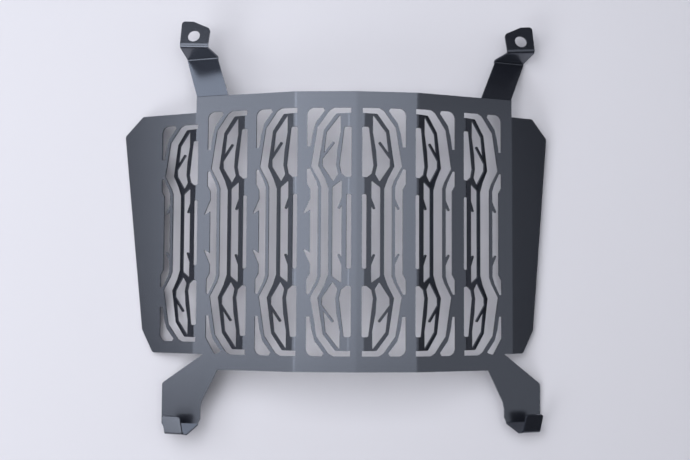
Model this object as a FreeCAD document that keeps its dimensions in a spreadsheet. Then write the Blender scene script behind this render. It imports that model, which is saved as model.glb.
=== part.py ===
import FreeCAD, Part

import math
import os

# Radiator guard of a motorcycle: one laser cut sheet, folded along vertical lines into a shallow
# arch, with bent-back branch shaped fins in seven columns, two stepped mounting tabs on top and two
# folded hooks below.
# Frame: +X across the sheet, +Y up the sheet, +Z out of its front. The guard lies front side up on
# the corners of its wings and arms. Lengths are millimetres and angles are degrees.
#
# Each flat region is a plate drawn in its own plane with two coordinates: the reach away from the
# fold line that carries it, and the place along that line. A positive fold turns a plate towards
# the back of the sheet, a negative one towards the front.

SIZES = {
    "sheet_thickness": (1.5, "sheet metal, all over"),
    "hook_radius": (1.0, "inside radius of the folds at steps and hooks"),
    "tab_radius": (2.0, "inside radius of the fold under a tab"),
    "fin_radius": (3.5, "inside radius of the fin bends"),
    "facet_radius": (8.0, "inside radius of the folds between facets"),
    "window_height": (199.4, "height of the openings of a column"),
    "inner_fold": (49.8, "from the centre line to the inner fold, along the sheet"),
    "left_outer_fold": (137.6, "from the centre line to the left wing's fold, along the sheet"),
    "right_outer_fold": (136.8, "from the centre line to the right wing's fold, along the sheet"),
    "inner_tilt": (4.6, "lean of the two middle facets"),
    "outer_tilt": (20.3, "lean of the two outer facets"),
    "wing_tilt": (27.1, "lean of the wings"),
    "left_wing_height": (199.4, "height of the left wing at its fold"),
    "right_wing_height": (197.8, "height of the right wing at its fold"),
    "wing_corner_radius": (3, "corner radius of the wings"),
    "left_wing_top": (71.6, "widest reach of the left wing, near its top"),
    "left_wing_bottom": (51.2, "reach of the left wing near its bottom"),
    "left_top_edge": (53.5, "straight part of the left wing's top edge"),
    "left_bottom_edge": (40.3, "straight part of the left wing's bottom edge"),
    "right_wing_top": (37.0, "widest reach of the right wing, near its top"),
    "right_wing_bottom": (21.6, "reach of the right wing near its bottom"),
    "right_top_edge": (21.8, "straight part of the right wing's top edge"),
    "right_bottom_edge": (10.8, "straight part of the right wing's bottom edge"),
    "wing_chamfer_height": (17.0, "height of the cut-off wing corners"),
    "upper_border": (13.3, "plain border above the openings"),
    "lower_border": (12.5, "plain border below the openings"),
    "wing_border": (9.7, "plain border above and below the openings of the left wing"),
    "column_pitch": (43.5, "from one fin column to the next"),
    "centre_bar": (8.6, "plain bar on the centre line"),
    "column_width": (32.4, "from a column's inner slot to its outer window"),
    "fin_line": (2.0, "from the inner slot's edge to the line on which the fin bends"),
    "slot_gap": (4.3, "width of the slot round a fin"),
    "strip_width": (2.6, "slim strip between the slot and the outer windows"),
    "branch_width": (3.8, "width of a fin's branches"),
    "trunk_width": (3.0, "width of a fin's straight outer branch"),
    "trunk_trim": (0.9, "by how much the slot is wider beside the straight outer branch"),
    "long_slot": (8.2, "width of the long slot in the middle of a fin"),
    "outer_window": (6.2, "width of the outer windows at the middle"),
    "inner_fin_bend": (15, "bend of the fins on the middle facets"),
    "left_fin_bend": (12.5, "bend of the fins on the left outer facet"),
    "right_fin_bend": (18.5, "bend of the fins on the right outer facet"),
    "wing_fin_bend": (13, "bend of the fin on the left wing"),
    "arm_width": (28.4, "width of an upper arm"),
    "arm_length": (41.6, "length of an upper arm up to its step"),
    "left_arm_shift": (18.3, "sideways run of the left upper arm"),
    "right_arm_shift": (23.3, "sideways run of the right upper arm"),
    "arm_bend": (28, "lean of an upper arm towards the back"),
    "left_step_height": (18.2, "inner edge of the step under the left tab"),
    "right_step_height": (16.5, "inner edge of the step under the right tab"),
    "left_tab_inset": (2.4, "from the left step's outer edge in to its tab"),
    "right_tab_inset": (0.4, "from the right step's outer edge in to its tab"),
    "left_step_skew": (9.8, "slant of the fold between the left step and its tab"),
    "right_step_skew": (12.2, "slant of the fold between the right step and its tab"),
    "step_bend": (99.3, "fold between upper arm and step"),
    "tab_bend": (86.2, "fold between step and tab"),
    "tab_width": (24.4, "width of a mounting tab"),
    "tab_length": (22.9, "length of a mounting tab"),
    "hole_diameter": (10.5, "hole in a mounting tab"),
    "hole_reach": (9.5, "from the tab's fold to its hole"),
    "hole_place": (11.0, "from the tab's outer edge to its hole"),
    "notch_place": (129.0, "inner end of the notch under a wing"),
    "left_leg_outer": (165.7, "outer edge of the left lower arm, from the centre line"),
    "right_leg_outer": (163.2, "outer edge of the right lower arm, from the centre line"),
    "left_leg_inner": (131.0, "inner edge of the left lower arm, from the centre line"),
    "right_leg_inner": (129.2, "inner edge of the right lower arm, from the centre line"),
    "left_leg_drop": (44.7, "from the panel's bottom edge to the left hook's fold"),
    "right_leg_drop": (43.1, "from the panel's bottom edge to the right hook's fold"),
    "hook_rise": (12.3, "length of the hook's sloped part"),
    "hook_bend": (45, "fold between lower arm and hook"),
    "lip_bend": (115, "fold between the hook's sloped part and its lip"),
    "left_lip_place": (158.0, "outer edge of the left hook's lip, from the centre line"),
    "right_lip_place": (157.2, "outer edge of the right hook's lip, from the centre line"),
    "lip_width": (15.8, "width of the hook's lip"),
    "lip_length": (17, "length of the hook's lip"),
}

doc = FreeCAD.newDocument("radiator_guard")
sheet = doc.addObject("Spreadsheet::Sheet", "Sizes")
for row, (alias, (value, note)) in enumerate(SIZES.items(), start=1):
    sheet.set("A%d" % row, alias)
    sheet.set("B%d" % row, str(value))
    sheet.set("C%d" % row, note)
    sheet.setAlias("B%d" % row, alias)
doc.recompute()


def size(alias):
    """Value of one driving dimension."""
    return float(getattr(sheet, alias))


thickness = size("sheet_thickness")
half_window = size("window_height") / 2
top_edge = half_window + size("upper_border")
bottom_edge = -half_window - size("lower_border")

# Radius of the sheet's middle surface in each kind of fold
hook_fold = size("hook_radius") + thickness / 2
tab_fold = size("tab_radius") + thickness / 2
fin_fold = size("fin_radius") + thickness / 2
facet_fold = size("facet_radius") + thickness / 2

# Places across a column, as reach from the line on which its fin bends
inner_slot = -size("fin_line")
window_side = size("column_width") - size("fin_line")
strip_outer = window_side - size("outer_window") + 0.6
strip_inner = strip_outer - size("strip_width")
slot_end = inner_slot + 0.4

# By how much the inner edge of a lower arm turns in at its hook
leg_relief = 1.8

# Corner radius up to which a corner is cut off straight
smallest_arc = 1.0

# Heights along a column, from the middle up, in a column whose opening ends at column_top. Every
# column is stretched from these to the height of its own opening.
column_top = 99.7
shoulder = 84
waist = 52.5
crook = 41
strip_start = 35.9
upper_bridge = (84.4, 95.4)
lower_bridge = (29.9, 43.6)


def setback(angle, radius):
    """Distance from the apex of a fold to where its arc begins."""
    return radius * math.tan(math.radians(abs(angle)) / 2)


def move(reach, along=0.0, turn=0.0):
    """Placement in the plane of a plate."""
    rotation = FreeCAD.Rotation(FreeCAD.Vector(0, 0, 1), turn)
    return FreeCAD.Placement(FreeCAD.Vector(reach, along, 0), rotation)


def folded(frame, angle):
    """Frame of the plate beyond a fold on the frame's own line."""
    turn = FreeCAD.Rotation(FreeCAD.Vector(0, 1, 0), angle)
    return frame.multiply(FreeCAD.Placement(FreeCAD.Vector(), turn))


def outline(corners):
    """Closed wire through corners (reach, along, radius), each radius a tangent arc.

    Corners up to smallest_arc are broken by a short straight cut, about where their arc would be.
    """
    points = [FreeCAD.Vector(corner[0], corner[1], 0) for corner in corners]
    radii = [corner[2] if len(corner) > 2 else 0.0 for corner in corners]
    count = len(points)
    starts, ends, arcs = [], [], []
    for index, point in enumerate(points):
        before = (points[index - 1] - point)
        after = (points[(index + 1) % count] - point)
        if radii[index] <= 0:
            starts.append(point)
            ends.append(point)
            arcs.append(None)
            continue
        angle = before.getAngle(after)
        cut = radii[index] / math.tan(angle / 2)
        before.normalize()
        after.normalize()
        bisector = (before + after).normalize()
        centre = point + bisector * (radii[index] / math.sin(angle / 2))
        if radii[index] <= smallest_arc:
            cut *= 0.65
            arcs.append(None)
        else:
            arcs.append(centre - bisector * radii[index])
        starts.append(point + before * cut)
        ends.append(point + after * cut)
    edges = []
    for index in range(count):
        if arcs[index] is not None:
            edges.append(Part.Arc(starts[index], arcs[index], ends[index]).toShape())
        elif radii[index] > 0:
            edges.append(Part.makeLine(starts[index], ends[index]))
        following = starts[(index + 1) % count]
        if (following - ends[index]).Length > 1e-6:
            edges.append(Part.makeLine(ends[index], following))
    return Part.Wire(edges)


def face(corners):
    """Flat face in the plane of a plate."""
    return Part.Face(outline(corners))


def pierced(blank, openings):
    """Flat face with openings cut out of it."""
    return blank.cut(openings).Faces[0]


def plate(frame, shape):
    """Solid of sheet thickness from a flat face drawn in the plate's plane."""
    lowered = shape.copy()
    lowered.translate(FreeCAD.Vector(0, 0, -thickness / 2))
    solid = lowered.extrude(FreeCAD.Vector(0, 0, thickness))
    solid.Placement = frame.multiply(solid.Placement)
    return solid


def bend(frame, angle, radius, start, end):
    """Curved stretch of a fold between two places along its line."""
    side = 1 if angle > 0 else -1
    turn = math.radians(abs(angle))
    centre = FreeCAD.Vector(-setback(angle, radius), 0, -side * radius)

    def on_arc(reach, swing):
        return centre + FreeCAD.Vector(reach * math.sin(swing), 0, side * reach * math.cos(swing))

    near, far = radius - thickness / 2, radius + thickness / 2
    edges = [
        Part.Arc(on_arc(far, 0), on_arc(far, turn / 2), on_arc(far, turn)).toShape(),
        Part.makeLine(on_arc(far, turn), on_arc(near, turn)),
        Part.Arc(on_arc(near, turn), on_arc(near, turn / 2), on_arc(near, 0)).toShape(),
        Part.makeLine(on_arc(near, 0), on_arc(far, 0)),
    ]
    section = Part.Face(Part.Wire(edges))
    section.translate(FreeCAD.Vector(0, start, 0))
    solid = section.extrude(FreeCAD.Vector(0, end - start, 0))
    solid.Placement = frame.multiply(solid.Placement)
    return solid


def offset_path(points, distance):
    """Open path moved to its right by a distance, with its corners kept sharp."""
    lines = []
    for first, second in zip(points, points[1:]):
        run = math.hypot(second[0] - first[0], second[1] - first[1])
        normal = ((second[1] - first[1]) / run, -(second[0] - first[0]) / run)
        lines.append((normal, normal[0] * first[0] + normal[1] * first[1] + distance))
    moved = [(points[0][0] + lines[0][0][0] * distance, points[0][1] + lines[0][0][1] * distance)]
    for (one, place), (two, other) in zip(lines, lines[1:]):
        cross = one[0] * two[1] - one[1] * two[0]
        moved.append(((place * two[1] - other * one[1]) / cross, (one[0] * other - two[0] * place) / cross))
    last = lines[-1][0]
    moved.append((points[-1][0] + last[0] * distance, points[-1][1] + last[1] * distance))
    return moved


def stretched(corners, scale):
    """Corners with their place along the fold line scaled."""
    return [(corner[0], corner[1] * scale) + tuple(corner[2:]) for corner in corners]


def mirrored(corners):
    """Corners on the other side of the middle, in the same turning sense."""
    return [(corner[0], -corner[1]) + tuple(corner[2:]) for corner in reversed(corners)]


def window_edge():
    """Outer edge of a column's main opening, from the top bar down to the middle."""
    return [
        (slot_end, column_top),
        (11.9, column_top),
        (15.6, column_top - 2.2),
        (strip_inner + 3.1, shoulder),
        (window_side, waist),
        (strip_inner + 1.8, crook),
        (strip_inner, strip_start),
        (strip_inner, 0),
    ]


def main_opening(scale):
    """Opening in which a fin stands: the slot round it and the fin's own place."""
    edge = window_edge()[1:-1]
    radii = [3, 4, 0, 2, 3, 0]
    half = [(reach, along, radius) for (reach, along), radius in zip(edge, radii)]
    corners = [(0, column_top)] + half + mirrored(half) + [(0, -column_top)]
    return face(stretched(corners, scale))


def inner_comb(cut_back, scale):
    """Slots on the bar side of the bend line, with the bridges of the fin left between them."""
    low, high = lower_bridge, upper_bridge
    half = [
        (slot_end, column_top), (slot_end, high[1]), (-cut_back, high[1]), (-cut_back, high[0]),
        (inner_slot, high[0], 1.5), (inner_slot, low[1], 1.5), (-cut_back, low[1]),
        (-cut_back, low[0]), (inner_slot, low[0], 1.5),
    ]
    corners = [(0, column_top)] + half + mirrored(half) + [(0, -column_top)]
    return face(stretched(corners, scale))


def fin_face(start, scale):
    """Flat pattern of a fin, from the end of its bend to its free edge."""
    edge = offset_path(window_edge(), size("slot_gap"))
    radii = {1: 2, 3: 0, 4: 1.5, 5: 3}
    free_edge = edge[6][0] - size("trunk_trim")
    half = [(*edge[index], radius) for index, radius in radii.items()]
    half.append((free_edge, edge[6][1] - 2))
    corners = [(start, edge[0][1])] + half + mirrored(half) + [(start, -edge[0][1])]
    shape = face(stretched(corners, scale))
    upper = [
        (8.3, 93.4), (7.0, 93.7), (6.9, 80.0), (9.7, 65.7), (10.7, 53.5), (9.0, 46.2, 2),
        (13.1, 40.2, 1), (22.3, 53.2, 2), (22.5, 58.8), (11.9, 71.9, 0.9), (13.4, 73.1, 0.9),
        (21.2, 63.5), (19.0, 80.6),
    ]
    trunk = free_edge - size("trunk_width")
    inner_branch = trunk - size("long_slot")
    middle = [(inner_branch, 39.5), (inner_branch + 0.4, 41.2), (trunk, 35.8, 2)]
    thorn = [
        (inner_branch, 21.0), (inner_branch + 2.2, 17.8, 0.8), (inner_branch + 3.6, 18.6, 0.8),
        (inner_branch, 27.0),
    ]
    long_slot = middle + mirrored(middle) + mirrored(thorn) + thorn
    side = [
        (start - 1, upper_bridge[0]), (3.9, upper_bridge[0], 1.5), (8.0, 53.5),
        (6.4, 46.9, 2), (2.2, lower_bridge[1]), (start - 1, lower_bridge[1]),
    ]
    straight = [
        (start - 1, lower_bridge[0]), (inner_branch - size("branch_width"), lower_bridge[0], 1.5),
        (inner_branch - size("branch_width"), -lower_bridge[0], 1.5), (start - 1, -lower_bridge[0]),
    ]
    openings = [upper, mirrored(upper), long_slot, side, mirrored(side), straight]
    return pierced(shape, [face(stretched(corners, scale)) for corners in openings])


def outer_windows(scale, notched, trimmed):
    """Two leaf windows and one long window beyond the strip of a column."""
    leaf_side = window_side + 3.3
    stem = [(19.6, 97.2), (26.8, 87.7, 6), (29.3, 78.8), (30.9, 68.2), (33.6, 68.2)]
    round_leaf = stem + [(leaf_side, column_top, 6), (20.9, column_top, 1)]
    cut_leaf = stem + [(leaf_side, 86, 2), (25.5, column_top, 2), (20.6, column_top - 1.5, 1)]
    half_outer = [
        (window_side + 0.6, 34), (window_side + 3.2, 38.5), (window_side + 3.3, 50.4, 1),
    ]
    notch = [
        (window_side + 0.6, 17.2), (window_side + 4.9, 14.4), (window_side + 5.5, 15.2),
        (window_side + 0.4, 26.5),
    ]
    twig = [
        (strip_outer, 26.5), (strip_outer + 3.8, 18.4, 0.7), (strip_outer + 2.6, 17.4, 0.7),
        (strip_outer, 21.0),
    ]
    half_inner = [
        (window_side + 0.9, 50.4, 1), (strip_outer + 1.6, 40.6, 4), (strip_outer, 35.4, 4),
    ]
    if notched:
        half = notch + half_outer + half_inner
    else:
        half = half_outer + half_inner + twig
    long_window = half + mirrored(half)
    bottom_leaf = cut_leaf if trimmed else round_leaf
    shapes = [round_leaf, mirrored(bottom_leaf), long_window]
    return [face(stretched(corners, scale)) for corners in shapes]


def placed(shape, reach):
    """Flat face moved along the reach of its plate."""
    moved = shape.copy()
    moved.translate(FreeCAD.Vector(reach, 0, 0))
    return moved


def fin(frame, angle, radius, scale):
    """Fin bent back out of the sheet on its four bridges."""
    start = setback(angle, radius)
    solids = [plate(folded(frame, angle), fin_face(start, scale))]
    for low, high in (upper_bridge, lower_bridge):
        solids.append(bend(frame, angle, radius, low * scale, high * scale))
        solids.append(bend(frame, angle, radius, -high * scale, -low * scale))
    return solids


def fin_fold_on(turn, angle):
    """Fold radius of a fin that stands on a facet's fold and bends from where that fold begins."""
    return setback(turn, facet_fold) / math.tan(math.radians(angle) / 2)


def lowest_on_fold(frame, angle, radius, along):
    """Point of a forward fold's outer face that touches a surface below it."""
    axis = frame.multVec(FreeCAD.Vector(-setback(angle, radius), along, radius))
    return axis - FreeCAD.Vector(0, 0, radius + thickness / 2)


def upper_arm(frame, facet_start, hand):
    """Stepped arm with its mounting tab, on the top edge of an outer facet."""
    width = size("arm_width")
    root = frame.multiply(move(size(hand + "_outer_fold") - facet_start, top_edge, 90))
    lean, step, back = size("arm_bend"), -size("step_bend"), size("tab_bend")
    solids = [bend(root, lean, hook_fold, 0, width)]
    arm = folded(root, lean)
    shift, length = -size(hand + "_arm_shift"), size("arm_length")
    start = setback(lean, hook_fold)
    end = length - setback(step, hook_fold)
    solids.append(plate(arm, face([(start, 0), (end, shift), (end, shift + width), (start, width)])))
    knee = arm.multiply(move(length, shift))
    solids.append(bend(knee, step, hook_fold, 0, width))
    riser = folded(knee, step)
    skew = size(hand + "_step_skew")
    tab_width = size("tab_width")
    inner_rise = size(hand + "_step_height")
    outer_rise = inner_rise + tab_width * math.sin(math.radians(skew))
    top = move(outer_rise, size(hand + "_tab_inset"), skew)
    start = setback(step, hook_fold)
    edge = [top.multVec(FreeCAD.Vector(-setback(back, tab_fold), place, 0)) for place in (0, tab_width)]
    solids.append(plate(riser, face([
        (start, 0), (edge[0].x, edge[0].y), (edge[1].x, edge[1].y), (start, width),
    ])))
    neck = riser.multiply(top)
    solids.append(bend(neck, back, tab_fold, 0, tab_width))
    start = setback(back, tab_fold)
    length = size("tab_length")
    tab = face([
        (start, 0), (length, -1.1, 2.8), (length - 0.2, 9.2), (length - 6.3, tab_width, 3.8),
        (start, tab_width),
    ])
    solids.append(plate(folded(neck, back), tab))
    return solids, folded(neck, back), lowest_on_fold(knee, step, hook_fold, 0)


def hook(frame, facet_start, hand):
    """Folded hook at the end of a lower arm."""
    inner = size(hand + "_leg_inner") - facet_start + leg_relief
    outer = size(hand + "_leg_outer") - facet_start
    root = frame.multiply(move(0, bottom_edge - size(hand + "_leg_drop"), -90))
    rise, back = -size("hook_bend"), -size("lip_bend")
    solids = [bend(root, rise, hook_fold, inner, outer)]
    slope = folded(root, rise)
    reach = size("hook_rise")
    lip_outer = size(hand + "_lip_place") - facet_start
    lip_inner = lip_outer - size("lip_width")
    start, end = setback(rise, hook_fold), reach - setback(back, hook_fold)
    solids.append(plate(slope, face([
        (start, inner), (reach - 1.2, lip_inner - 3, 0.5), (reach - 1.2, lip_inner),
        (end, lip_inner), (end, lip_outer), (start, outer),
    ])))
    knee = slope.multiply(move(reach))
    solids.append(bend(knee, back, hook_fold, lip_inner, lip_outer))
    start = setback(back, hook_fold)
    length = size("lip_length")
    solids.append(plate(folded(knee, back), face([
        (start, lip_inner), (length, lip_inner, 2.5), (length, lip_outer, 2), (start, lip_outer),
    ])))
    return solids, lowest_on_fold(root, rise, hook_fold, outer)


def half_guard(hand, with_wing_column, notched):
    """Half of the guard, built on the right: its solids, its tab's frame, points it can rest on."""
    inner_fold, outer_fold = size("inner_fold"), size(hand + "_outer_fold")
    tilt = FreeCAD.Rotation(FreeCAD.Vector(0, 1, 0), size("inner_tilt"))
    inner = FreeCAD.Placement(FreeCAD.Vector(), tilt)
    first_turn = size("outer_tilt") - size("inner_tilt")
    second_turn = size("wing_tilt") - size("outer_tilt")
    inner_line = inner.multiply(move(inner_fold))
    outer = folded(inner_line, first_turn)
    outer_line = outer.multiply(move(outer_fold - inner_fold))
    side = folded(outer_line, second_turn)
    first_line = size("centre_bar") / 2 + size("fin_line")
    inner_bend = size("inner_fin_bend")
    outer_bend = size(hand + "_fin_bend")
    wing_bend = size("wing_fin_bend")
    half_wing = size(hand + "_wing_height") / 2
    half_wing_window = half_wing - size("wing_border")
    scale = half_window / column_top
    wing_scale = half_wing_window / column_top
    solids = []

    # Middle facet, with its own column and the inner slots of the next one
    start = setback(2 * size("inner_tilt"), facet_fold)
    end = inner_fold - setback(first_turn, facet_fold)
    blank = face([(start, bottom_edge), (end, bottom_edge), (end, top_edge), (start, top_edge)])
    openings = [main_opening(scale), inner_comb(setback(inner_bend, fin_fold), scale)]
    openings += outer_windows(scale, notched, False)
    openings = [placed(shape, first_line) for shape in openings]
    openings.append(placed(inner_comb(setback(first_turn, facet_fold), scale), inner_fold))
    solids.append(plate(inner, pierced(blank, openings)))
    solids += fin(inner.multiply(move(first_line)), inner_bend, fin_fold, scale)
    solids.append(bend(inner_line, first_turn, facet_fold, half_window, top_edge))
    solids.append(bend(inner_line, first_turn, facet_fold, bottom_edge, -half_window))

    # Outer facet, with the lower arm in its plane
    turn_line = first_line + 2 * size("column_pitch") - inner_fold
    far_corner = outer_fold - inner_fold
    start = setback(first_turn, facet_fold)
    end = far_corner - setback(second_turn, facet_fold)
    notch = size("notch_place") - inner_fold
    leg_outer = size(hand + "_leg_outer") - inner_fold
    leg_inner = size(hand + "_leg_inner") - inner_fold
    leg_end = bottom_edge - size(hand + "_leg_drop") + setback(size("hook_bend"), hook_fold)
    blank = face([
        (start, top_edge), (start, bottom_edge), (leg_inner - 15, bottom_edge, 1.5),
        (leg_inner - 1.3, bottom_edge - 26.2, 3), (leg_inner, bottom_edge - 31.8, 3),
        (leg_inner, leg_end + 3.5), (leg_inner + leg_relief, leg_end), (leg_outer, leg_end),
        (leg_outer, bottom_edge - 12.1, 3), (notch, -half_wing - 0.2), (end, -half_wing),
        (end, half_wing), (far_corner, half_wing), (far_corner, top_edge),
    ])
    openings = [main_opening(scale)] + outer_windows(scale, notched, False)
    column = [main_opening(scale), inner_comb(setback(outer_bend, fin_fold), scale)]
    column += outer_windows(scale, notched, True)
    openings += [placed(shape, turn_line) for shape in column]
    if with_wing_column:
        comb = inner_comb(setback(second_turn, facet_fold), wing_scale)
        openings.append(placed(comb, far_corner))
    solids.append(plate(outer, pierced(blank, openings)))
    turn = first_turn + outer_bend
    solids += fin(inner_line, turn, fin_fold_on(first_turn, turn), scale)
    solids += fin(outer.multiply(move(turn_line)), outer_bend, fin_fold, scale)

    # Wing
    start = setback(second_turn, facet_fold)
    top, bottom = size(hand + "_wing_top"), size(hand + "_wing_bottom")
    chamfer, corner = size("wing_chamfer_height"), size("wing_corner_radius")
    blank = face([
        (start, -half_wing), (size(hand + "_bottom_edge"), -half_wing, corner),
        (bottom, -half_wing + chamfer + 2, corner), (top, half_wing - chamfer + 1, corner),
        (size(hand + "_top_edge"), half_wing, corner), (start, half_wing),
    ])
    if with_wing_column:
        openings = [main_opening(wing_scale)] + outer_windows(wing_scale, False, False)
        blank = pierced(blank, openings)
        for low, high in ((-half_wing, -half_wing_window), (half_wing_window, half_wing)):
            solids.append(bend(outer_line, second_turn, facet_fold, low, high))
        turn = second_turn + wing_bend
        solids += fin(outer_line, turn, fin_fold_on(second_turn, turn), wing_scale)
    else:
        solids.append(bend(outer_line, second_turn, facet_fold, -half_wing, half_wing))
    solids.append(plate(side, blank))

    arm, tab_frame, knee_point = upper_arm(outer, inner_fold, hand)
    hook_solids, hook_point = hook(outer, inner_fold, hand)
    wing_point = side.multVec(FreeCAD.Vector(top - 0.4, half_wing - chamfer, -thickness / 2))
    return solids + arm + hook_solids, tab_frame, (wing_point, knee_point, hook_point)


def feature(name, solids):
    """Document object with one fused solid."""
    shape = solids[0].fuse(solids[1:])
    item = doc.addObject("Part::Feature", name)
    item.Shape = shape
    return item


def hole_cutter(name, frame):
    """Cylinder through a mounting tab, bound to the sheet."""
    cutter = doc.addObject("Part::Cylinder", name)
    cutter.setExpression("Radius", "Sizes.hole_diameter / 2")
    cutter.setExpression("Height", "Sizes.sheet_thickness * 4")
    depth = 2 * thickness
    centre = FreeCAD.Vector(size("hole_reach"), size("hole_place"), -depth)
    cutter.Placement = frame.multiply(FreeCAD.Placement(centre, FreeCAD.Rotation()))
    return cutter


def mirrored_frame(frame):
    """Frame on the other half, for something round about its own Z axis."""
    point = frame.Base
    axis = frame.Rotation.multVec(FreeCAD.Vector(0, 0, 1))
    turn = FreeCAD.Rotation(FreeCAD.Vector(0, 0, 1), FreeCAD.Vector(-axis.x, axis.y, axis.z))
    return FreeCAD.Placement(FreeCAD.Vector(-point.x, point.y, point.z), turn)


def resting_rotation(points):
    """Rotation that lays three points of the guard on a level surface."""
    normal = (points[1] - points[0]).cross(points[2] - points[0])
    if normal.z < 0:
        normal = -normal
    return FreeCAD.Rotation(normal, FreeCAD.Vector(0, 0, 1))


right_solids, right_tab, right_points = half_guard("right", False, False)
left_solids, left_tab, left_points = half_guard("left", True, True)
across = FreeCAD.Vector(1, 0, 0)
left_solids = [solid.mirror(FreeCAD.Vector(), across) for solid in left_solids]
centre_frame = folded(FreeCAD.Placement(), -size("inner_tilt"))
centre_fold = bend(centre_frame, 2 * size("inner_tilt"), facet_fold, bottom_edge, top_edge)

right_half = feature("right_half", right_solids + [centre_fold])
left_half = feature("left_half", left_solids)
joined = doc.addObject("Part::Fuse", "folded_sheet")
joined.Base = left_half
joined.Tool = right_half
right_hole = hole_cutter("right_hole", right_tab)
left_hole = hole_cutter("left_hole", left_tab)
left_hole.Placement = mirrored_frame(left_hole.Placement)
holes = doc.addObject("Part::Fuse", "holes")
holes.Base = left_hole
holes.Tool = right_hole
guard = doc.addObject("Part::Cut", "radiator_guard")
guard.Label = "radiator_guard"
guard.Base = joined
guard.Tool = holes
doc.recompute()

# The guard rests on its left wing's upper corner, its right arm's step and its right hook's fold
wing_contact = FreeCAD.Vector(-left_points[0].x, left_points[0].y, left_points[0].z)
turned = resting_rotation([wing_contact, right_points[1], right_points[2]])
guard.Placement = FreeCAD.Placement(FreeCAD.Vector(), turned)
doc.recompute()
box = guard.Shape.BoundBox
guard.Placement = FreeCAD.Placement(FreeCAD.Vector(-box.Center.x, -box.Center.y, -box.ZMin), turned)
doc.recompute()

for item in doc.Objects:
    if "Invalid" in item.State or "Error" in item.State:
        raise RuntimeError("%s failed: %s" % (item.Label, item.State))
if guard.Shape.isNull() or not guard.Shape.isValid():
    raise RuntimeError("radiator_guard has no valid shape")
if len(guard.Shape.Solids) != 1:
    raise RuntimeError("radiator_guard is %d solids" % len(guard.Shape.Solids))

os.makedirs("parts", exist_ok=True)
guard.Shape.exportStep("parts/radiator_guard.step")
print("radiator_guard", round(guard.Shape.Volume), "mm3", guard.Shape.BoundBox)
for name, cutter in (("left", left_hole), ("right", right_hole)):
    where = guard.Placement.multiply(cutter.Placement)
    middle = where.multVec(FreeCAD.Vector(0, 0, 2 * thickness))
    axis = where.Rotation.multVec(FreeCAD.Vector(0, 0, 1))
    print(name, "hole", [round(value, 3) for value in middle], [round(value, 5) for value in axis])
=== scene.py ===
"""Radiator guard of a motorcycle in its satin powder coat, on a plain pale floor.

The guard is one folded sheet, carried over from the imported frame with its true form. This script gives the
sheet its coated edges and its finish, and sets up the floor, the soft lamps and the camera.
Lengths are metres and angles are degrees. The guard lies front side up, with its mounting tabs towards +Y.
"""

import logging
import math
from dataclasses import dataclass, field
from enum import Enum

import bpy
from mathutils import Euler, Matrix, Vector

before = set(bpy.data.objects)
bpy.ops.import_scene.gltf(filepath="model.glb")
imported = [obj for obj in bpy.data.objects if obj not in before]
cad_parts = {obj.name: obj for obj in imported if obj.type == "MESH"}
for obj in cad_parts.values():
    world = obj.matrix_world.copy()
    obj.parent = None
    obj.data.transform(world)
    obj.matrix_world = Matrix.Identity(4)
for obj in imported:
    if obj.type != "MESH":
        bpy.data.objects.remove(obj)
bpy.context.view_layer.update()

log = logging.getLogger("radiator_guard")

MILLIMETRE = 0.001
GUARD_NODE = "radiator_guard"
DAYLIGHT = (0.96, 0.97, 1.0)
COOL_DAYLIGHT = (0.84, 0.90, 1.0)


class Texture(Enum):
    """Procedural textures that a finish is made of."""

    NOISE = "ShaderNodeTexNoise"
    VORONOI = "ShaderNodeTexVoronoi"


@dataclass
class NodeBoard:
    """Small helper that lays out one material's nodes.

    Args:
        name: name of the material.
    """

    name: str
    material: bpy.types.Material = field(init=False)

    def __post_init__(self) -> None:
        """Make the empty material."""
        self.material = bpy.data.materials.new(self.name)
        self.material.use_nodes = True
        self.material.node_tree.nodes.clear()

    def node(self, kind: str, **values: object) -> bpy.types.Node:
        """Add a node and set its plain input values.

        Args:
            kind: Blender's identifier of the node type.
            values: input names, with underscores for spaces, and their values.

        Returns:
            The new node.
        """
        made = self.material.node_tree.nodes.new(kind)
        for name, value in values.items():
            made.inputs[name.replace("_", " ")].default_value = value
        return made

    def link(self, source: bpy.types.NodeSocket, target: bpy.types.NodeSocket) -> None:
        """Join an output to an input."""
        self.material.node_tree.links.new(source, target)

    def finish(self, shader: bpy.types.Node) -> None:
        """Make the shader the material's surface."""
        output = self.node("ShaderNodeOutputMaterial")
        self.link(shader.outputs["BSDF"], output.inputs["Surface"])

    def texture(self, kind: Texture, scale: float, **values: float) -> bpy.types.Node:
        """Add a texture that is fixed to the object, in metres.

        Args:
            kind: which texture.
            scale: repeats per metre.
            values: further input values.

        Returns:
            The texture node.
        """
        place = self.node("ShaderNodeTexCoord")
        made = self.node(kind.value, Scale=scale, **values)
        self.link(place.outputs["Object"], made.inputs["Vector"])
        return made

    def spread(self, source: bpy.types.NodeSocket, low: float, high: float) -> bpy.types.NodeSocket:
        """Map a texture's value to a range.

        Args:
            source: output with values from 0 to 1.
            low: result where the value is 0.
            high: result where the value is 1.

        Returns:
            The mapped output.
        """
        made = self.node("ShaderNodeMapRange", To_Min=low, To_Max=high)
        self.link(source, made.inputs["Value"])
        return made.outputs["Result"]


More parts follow.
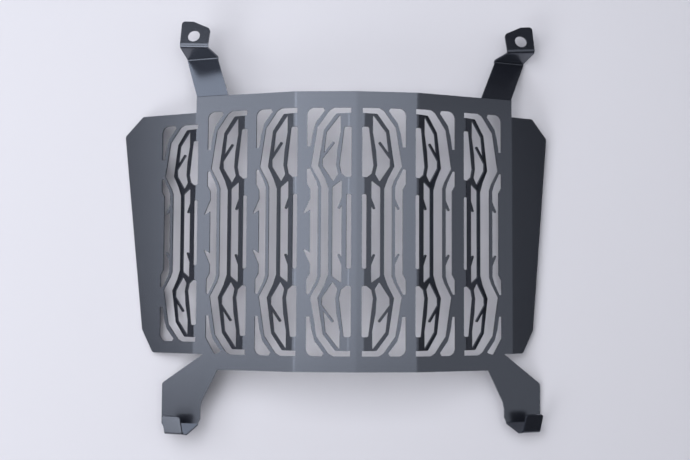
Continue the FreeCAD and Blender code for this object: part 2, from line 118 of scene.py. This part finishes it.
@dataclass(frozen=True)
class PowderCoat:
    """Satin powder coat on sheet metal: dark, slightly blue, with the fine ripple of a baked coat.

    Args:
        colour: darker of the two colours that mix in faint clouds.
        pale_colour: paler of the two.
        roughness_low: roughness of the smoothest patches.
        roughness_high: roughness of the roughest patches.
        refraction: index of refraction.
        reflectance: level of the reflections at a steep view.
        reflection_colour: colour of those reflections.
        cloud_repeats: clouds of colour per metre.
        satin_repeats: clouds of roughness per metre.
        ripple_repeats: ripples per metre.
        grain_repeats: grains per metre.
        ripple_height: depth of the ripple in metres.
        grain_height: depth of the grain in metres.
    """

    colour: tuple[float, float, float] = (0.0088, 0.0098, 0.0142)
    pale_colour: tuple[float, float, float] = (0.0112, 0.0122, 0.0172)
    roughness_low: float = 0.24
    roughness_high: float = 0.28
    refraction: float = 1.6
    reflectance: float = 1.0
    reflection_colour: tuple[float, float, float] = (0.78, 0.85, 1.0)
    cloud_repeats: float = 28.0
    satin_repeats: float = 70.0
    ripple_repeats: float = 900.0
    grain_repeats: float = 3200.0
    ripple_height: float = 0.004 * MILLIMETRE
    grain_height: float = 0.0016 * MILLIMETRE

    def material(self) -> bpy.types.Material:
        """Build the finish.

        Returns:
            The material, with its colour, roughness and ripple from textures.
        """
        board = NodeBoard("powder_coat_satin")
        shader = board.node(
            "ShaderNodeBsdfPrincipled",
            IOR=self.refraction,
            Specular_IOR_Level=self.reflectance,
            Specular_Tint=(*self.reflection_colour, 1.0),
        )
        board.finish(shader)
        self.tint(board, shader)
        self.satin(board, shader)
        self.ripple(board, shader)
        return board.material

    def tint(self, board: NodeBoard, shader: bpy.types.Node) -> None:
        """Vary the colour a little over the sheet."""
        clouds = board.texture(Texture.NOISE, self.cloud_repeats, Detail=3.0, Roughness=0.55)
        mix = board.node("ShaderNodeMix")
        mix.data_type = "RGBA"
        mix.inputs["A"].default_value = (*self.colour, 1.0)
        mix.inputs["B"].default_value = (*self.pale_colour, 1.0)
        board.link(clouds.outputs["Fac"], mix.inputs["Factor"])
        board.link(mix.outputs["Result"], shader.inputs["Base Color"])

    def satin(self, board: NodeBoard, shader: bpy.types.Node) -> None:
        """Vary the roughness in faint clouds."""
        clouds = board.texture(Texture.NOISE, self.satin_repeats, Detail=4.0, Roughness=0.6)
        roughness = board.spread(clouds.outputs["Fac"], self.roughness_low, self.roughness_high)
        board.link(roughness, shader.inputs["Roughness"])

    def ripple(self, board: NodeBoard, shader: bpy.types.Node) -> None:
        """Give the coat its ripple and its fine grain."""
        ripple = board.texture(Texture.NOISE, self.ripple_repeats, Detail=1.5, Roughness=0.4)
        grain = board.texture(Texture.VORONOI, self.grain_repeats)
        low = board.node("ShaderNodeBump", Strength=1.0, Distance=self.ripple_height)
        high = board.node("ShaderNodeBump", Strength=1.0, Distance=self.grain_height)
        board.link(ripple.outputs["Fac"], low.inputs["Height"])
        board.link(grain.outputs["Distance"], high.inputs["Height"])
        board.link(low.outputs["Normal"], high.inputs["Normal"])
        board.link(high.outputs["Normal"], shader.inputs["Normal"])


@dataclass(frozen=True)
class FloorPaint:
    """Plain matt paint of the floor.

    Args:
        colour: its colour.
        roughness: its roughness.
        reflectance: level of its reflections at a steep view.
    """

    colour: tuple[float, float, float] = (0.62, 0.615, 0.66)
    roughness: float = 0.85
    reflectance: float = 0.2

    def material(self) -> bpy.types.Material:
        """Build the finish.

        Returns:
            The material, the same all over.
        """
        board = NodeBoard("floor_matt")
        shader = board.node(
            "ShaderNodeBsdfPrincipled",
            Base_Color=(*self.colour, 1.0),
            Roughness=self.roughness,
            Specular_IOR_Level=self.reflectance,
        )
        board.finish(shader)
        return board.material


@dataclass
class Guard:
    """The folded sheet, with the coat that rounds its cut edges.

    Args:
        node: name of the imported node.
        coat: finish of the sheet.
        seam: gap that the mesh's seams are closed across.
        edge_round: width of the rounding that the coat gives a cut edge.
        edge_steps: facets across that rounding.
        sharp_angle: folds flatter than this many degrees aren't edges.
    """

    node: str
    coat: PowderCoat = PowderCoat()
    seam: float = 0.002 * MILLIMETRE
    edge_round: float = 0.22 * MILLIMETRE
    edge_steps: int = 2
    sharp_angle: float = 50.0

    def dress(self) -> bpy.types.Object:
        """Round the cut edges and put the coat on.

        Returns:
            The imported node, dressed.
        """
        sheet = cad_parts[self.node]
        self.round_edges(sheet)
        self.even_faces(sheet)
        material = self.coat.material()
        for place in sheet.material_slots:
            place.material = material
        return sheet

    def round_edges(self, sheet: bpy.types.Object) -> None:
        """Round the cut edges by modifiers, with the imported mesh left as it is."""
        weld = sheet.modifiers.new("close_seams", "WELD")
        weld.merge_threshold = self.seam
        rounding = sheet.modifiers.new("coated_edges", "BEVEL")
        rounding.width = self.edge_round
        rounding.segments = self.edge_steps
        rounding.limit_method = "ANGLE"
        rounding.angle_limit = math.radians(self.sharp_angle)
        rounding.use_clamp_overlap = True

    def even_faces(self, sheet: bpy.types.Object) -> None:
        """Shade each flat facet evenly, so that only folds and edges carry a gradient."""
        evening = sheet.modifiers.new("even_faces", "WEIGHTED_NORMAL")
        evening.mode = "FACE_AREA"
        evening.keep_sharp = True


@dataclass(frozen=True)
class Softbox:
    """Rectangular area lamp.

    Args:
        name: name of the lamp.
        place: where it hangs.
        size: its width and height.
        power: watts.
        aim: point that it faces, or None where it faces straight down.
        colour: colour of its light.
    """

    name: str
    place: tuple[float, float, float]
    size: tuple[float, float]
    power: float
    aim: tuple[float, float, float] | None = None
    colour: tuple[float, float, float] = DAYLIGHT

    def hang(self) -> bpy.types.Object:
        """Make the lamp.

        Returns:
            The lamp object.
        """
        lamp = bpy.data.lights.new(self.name, "AREA")
        lamp.shape = "RECTANGLE"
        lamp.size, lamp.size_y = self.size
        lamp.energy = self.power
        lamp.color = self.colour
        made = bpy.data.objects.new(self.name, lamp)
        made.location = self.place
        direction = Vector(self.aim) - Vector(self.place) if self.aim else Vector((0.0, 0.0, -1.0))
        made.rotation_euler = direction.to_track_quat("-Z", "Y").to_euler()
        bpy.context.scene.collection.objects.link(made)
        return made


@dataclass
class Studio:
    """Pale floor, soft lamps and a dim, even surround.

    A large softbox hangs above and to the left of the guard. Two strips just below it add to its light,
    for the highlights of the folds. A weak softbox hangs at the right. A small one at the lower left
    lights the lips of the hooks, and one that stands low beyond the left mounting tab lights the upper
    arms.

    Args:
        floor_reach: from the middle of the floor to its edges.
        paint: finish of the floor.
        surround_colour: colour of the surround.
        surround_strength: strength of the surround's light.
        height: height of the large softbox and of the right one.
        strip_height: height of the two strips.
        depth: size of these four along the guard, from its hooks to its tabs.
        left_middle: middle of the large softbox and of the strips, along the guard.
        right_middle: middle of the right softbox, along the guard.
    """

    floor_reach: float = 12.0
    paint: FloorPaint = FloorPaint()
    surround_colour: tuple[float, float, float] = (0.92, 0.94, 1.0)
    surround_strength: float = 0.04
    height: float = 1.50
    strip_height: float = 1.45
    depth: float = 1.55
    left_middle: float = 0.39
    right_middle: float = -0.20

    def lamps(self) -> list[Softbox]:
        """Choose the lamps.

        Returns:
            The lamps, not yet hung.
        """
        return [
            Softbox("large_softbox", (-1.00, self.left_middle, self.height), (3.2, self.depth), 35.5),
            Softbox("inner_strip", (-0.50, self.left_middle, self.strip_height), (0.3, self.depth), 4.8),
            Softbox("outer_strip", (-1.92, self.left_middle, self.strip_height), (0.4, self.depth), 3.6),
            Softbox("lower_softbox", (-1.00, -1.02, 1.00), (0.8, 0.8), 10.5, (0.0, 0.0, 0.0)),
            Softbox("upper_softbox", (-1.15, 2.05, 0.55), (1.8, 1.1), 15.5, (0.0, 0.0, 0.1), COOL_DAYLIGHT),
            Softbox("right_softbox", (1.95, self.right_middle, self.height), (2.7, self.depth), 9.2),
        ]

    def build(self) -> None:
        """Lay the floor, hang the lamps and set the surrounding light."""
        self.lay_floor()
        for lamp in self.lamps():
            lamp.hang()
            log.info("lamp %s: %.0f W", lamp.name, lamp.power)
        self.set_surround()

    def lay_floor(self) -> bpy.types.Object:
        """Make the floor.

        Returns:
            The floor.
        """
        reach = self.floor_reach
        mesh = bpy.data.meshes.new("floor")
        corners = [(-reach, -reach, 0), (reach, -reach, 0), (reach, reach, 0), (-reach, reach, 0)]
        mesh.from_pydata(corners, [], [(0, 1, 2, 3)])
        floor = bpy.data.objects.new("floor", mesh)
        bpy.context.scene.collection.objects.link(floor)
        mesh.materials.append(self.paint.material())
        return floor

    def set_surround(self) -> None:
        """Light everything evenly from the world."""
        world = bpy.data.worlds.new("surround")
        world.use_nodes = True
        background = world.node_tree.nodes["Background"]
        background.inputs["Color"].default_value = (*self.surround_colour, 1.0)
        background.inputs["Strength"].default_value = self.surround_strength
        bpy.context.scene.world = world


@dataclass(frozen=True)
class Camera:
    """Camera that looks down on the guard from the photograph's place.

    Args:
        place: where it is.
        turn: its Euler angles in degrees.
        lens: its focal length in millimetres.
        sensor: width of its sensor in millimetres.
    """

    place: tuple[float, float, float] = (0.0050, -0.1037, 0.8998)
    turn: tuple[float, float, float] = (6.494, -0.249, 0.242)
    lens: float = 55.35
    sensor: float = 36.0

    def set_up(self) -> bpy.types.Object:
        """Make the camera and look through it.

        Returns:
            The camera object.
        """
        data = bpy.data.cameras.new("camera")
        data.lens = self.lens
        data.sensor_width = self.sensor
        data.sensor_fit = "HORIZONTAL"
        data.dof.use_dof = False
        made = bpy.data.objects.new("camera", data)
        made.location = self.place
        made.rotation_euler = Euler([math.radians(value) for value in self.turn], "XYZ")
        bpy.context.scene.collection.objects.link(made)
        bpy.context.scene.camera = made
        return made


def report(piece: bpy.types.Object) -> None:
    """Log a piece's name, size and modifiers."""
    size = [round(value / MILLIMETRE, 1) for value in piece.dimensions]
    log.info("piece %s: %s mm, %d modifiers", piece.name, size, len(piece.modifiers))


def main() -> None:
    """Dress the guard and set up its surroundings."""
    logging.basicConfig(level=logging.INFO, format="%(name)s: %(message)s")
    report(Guard(GUARD_NODE).dress())
    Studio().build()
    Camera().set_up()
    bpy.context.scene.view_settings.view_transform = "Standard"


if __name__ == "__main__":
    main()
